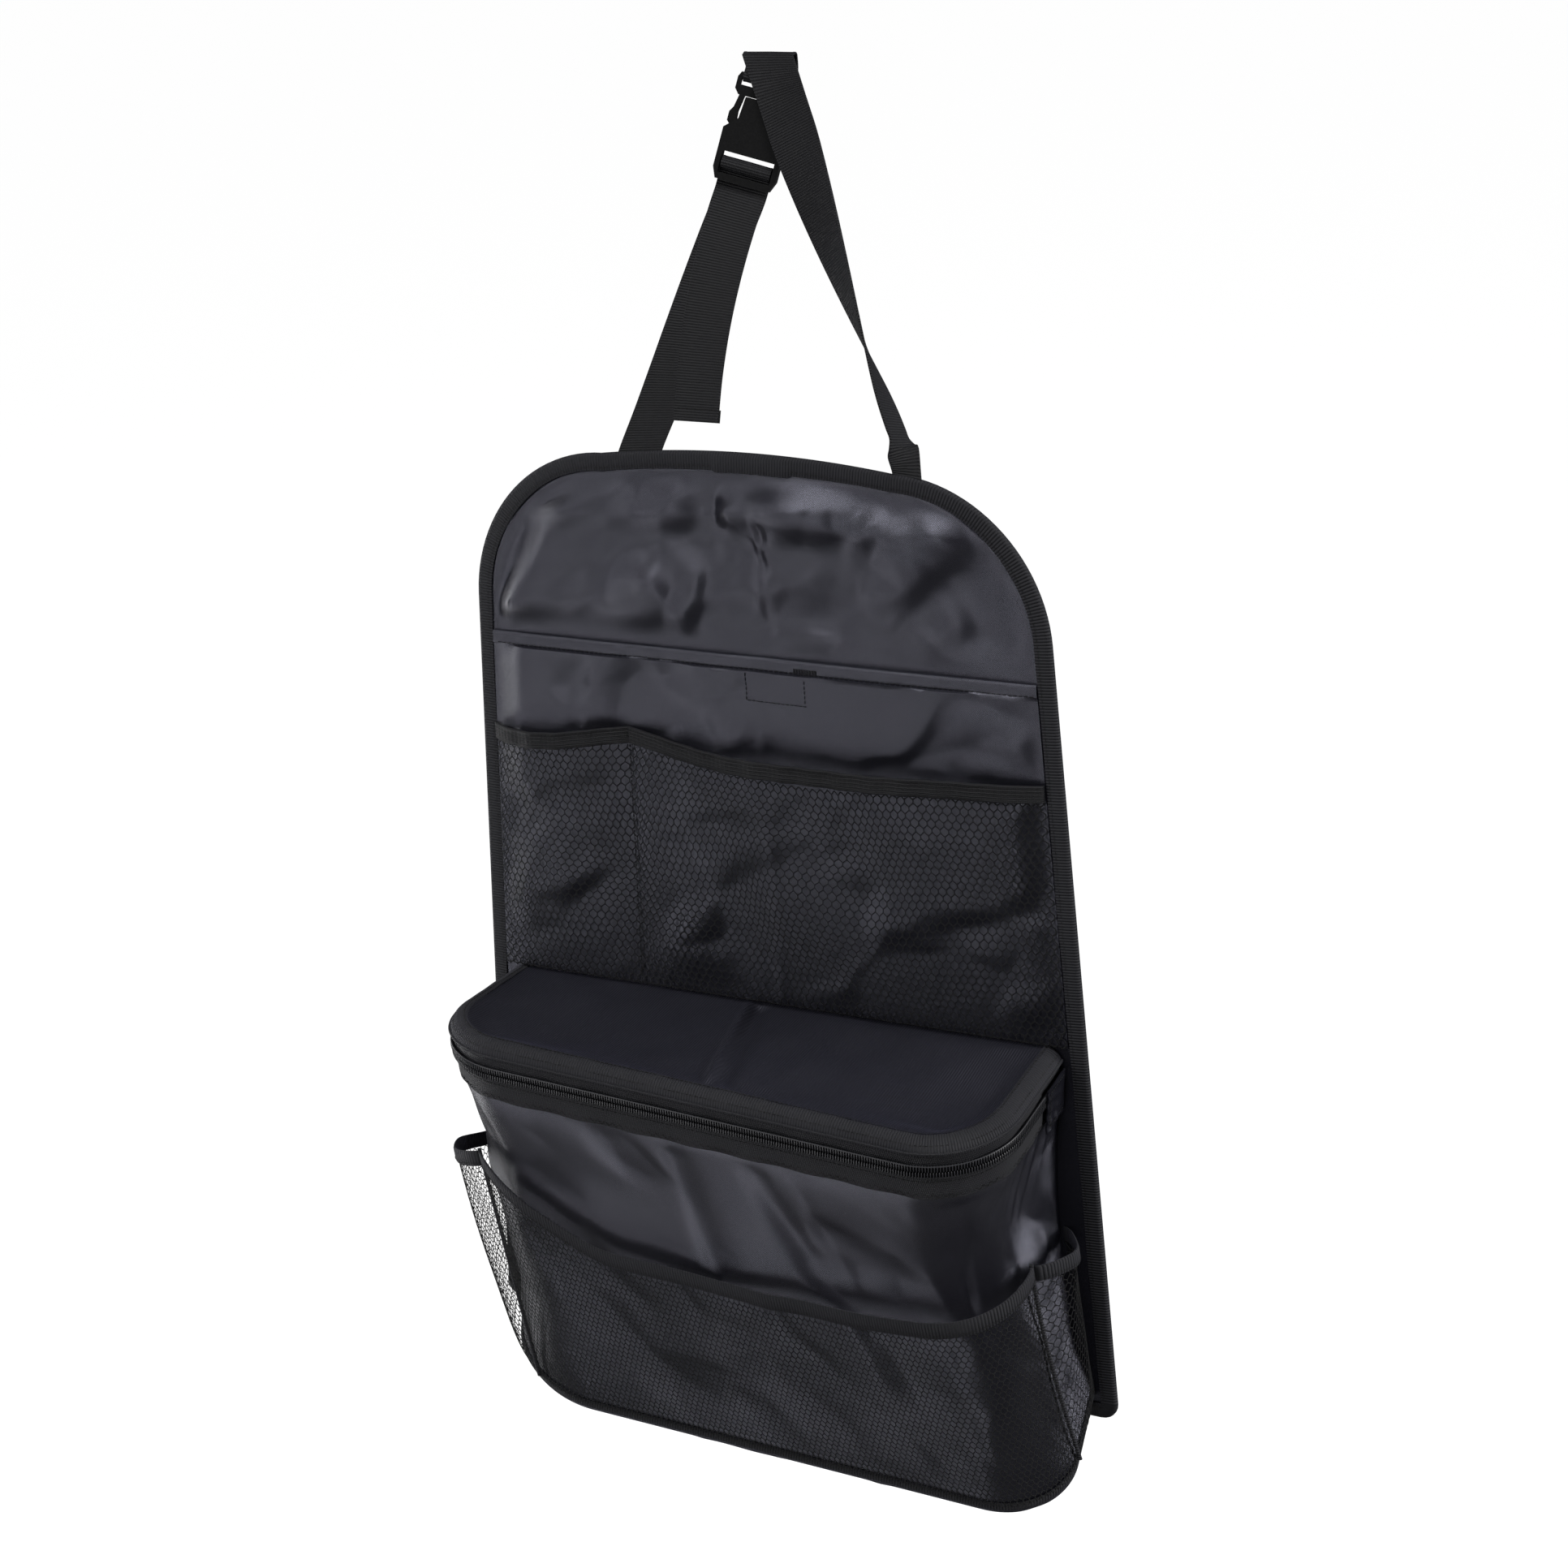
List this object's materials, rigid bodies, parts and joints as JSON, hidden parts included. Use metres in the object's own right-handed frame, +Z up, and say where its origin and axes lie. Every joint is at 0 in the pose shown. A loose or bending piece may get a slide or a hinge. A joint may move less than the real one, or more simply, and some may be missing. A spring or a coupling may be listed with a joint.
{
  "type": "car seat back organizer",
  "caption": "Hanging car seat back organizer: bound cloth panel with a slip pocket, a net pocket and a zipped bag with nets, on a webbing loop with a side-release buckle.",
  "frame": {"origin": "centre of the back panel's flat back face", "axes": "+X across the panel to the viewer's right, -Y the front where the bag stands out, +Z up the panel to the hanging loop"},
  "size_m": [0.4174, 0.1786, 0.7992],
  "materials": {
    "shell_cloth": "woven polyester twill, black with a faint violet sheen",
    "lining_cloth": "thin coated woven cloth",
    "binding": "matte ribbed binding tape",
    "webbing": "ribbed polyester webbing",
    "net": "knitted mesh",
    "elastic": "ribbed elastic",
    "zip_tape": "woven zip tape",
    "zip_coil": "nylon coil",
    "zip_metal": "black enamelled metal",
    "buckle": "satin moulded plastic"
  },
  "bodies": {
    "organizer": {"back_panel": "shell_cloth", "panel_binding": "binding", "slip_pocket": "shell_cloth", "upper_net": "net", "upper_net_elastic": "elastic", "lid": "lining_cloth", "lid_binding": "binding", "zip_tape_upper": "zip_tape", "zip_coil_upper": "zip_coil", "zip_coil_lower": "zip_coil", "zip_tape_lower": "zip_tape", "zip_end_tab": "shell_cloth", "bag_wall": "shell_cloth", "bag_bottom": "shell_cloth", "front_net": "net", "front_net_rim": "binding", "left_net": "net", "left_net_rim": "binding", "right_net": "net", "right_net_rim": "binding", "long_strap": "webbing", "short_strap": "webbing", "buckle_male": "buckle", "buckle_female": "buckle"},
    "slider": {"zip_slider": "zip_metal"},
    "pull": {"zip_pull": "zip_metal"}
  },
  "joints": [
    {"name": "zip_slide", "type": "slide", "parent": "organizer", "child": "slider", "axis": [-0.0349, 0.9992, 0.0185], "range_m": [0, 0.018]},
    {"name": "pull_swing", "type": "hinge", "parent": "slider", "child": "pull", "pos_m": [-0.18636, -0.04309, -0.06704], "axis": [-0.9989, -0.0342, -0.0321], "range_deg": [-50, 25]}
  ]
}
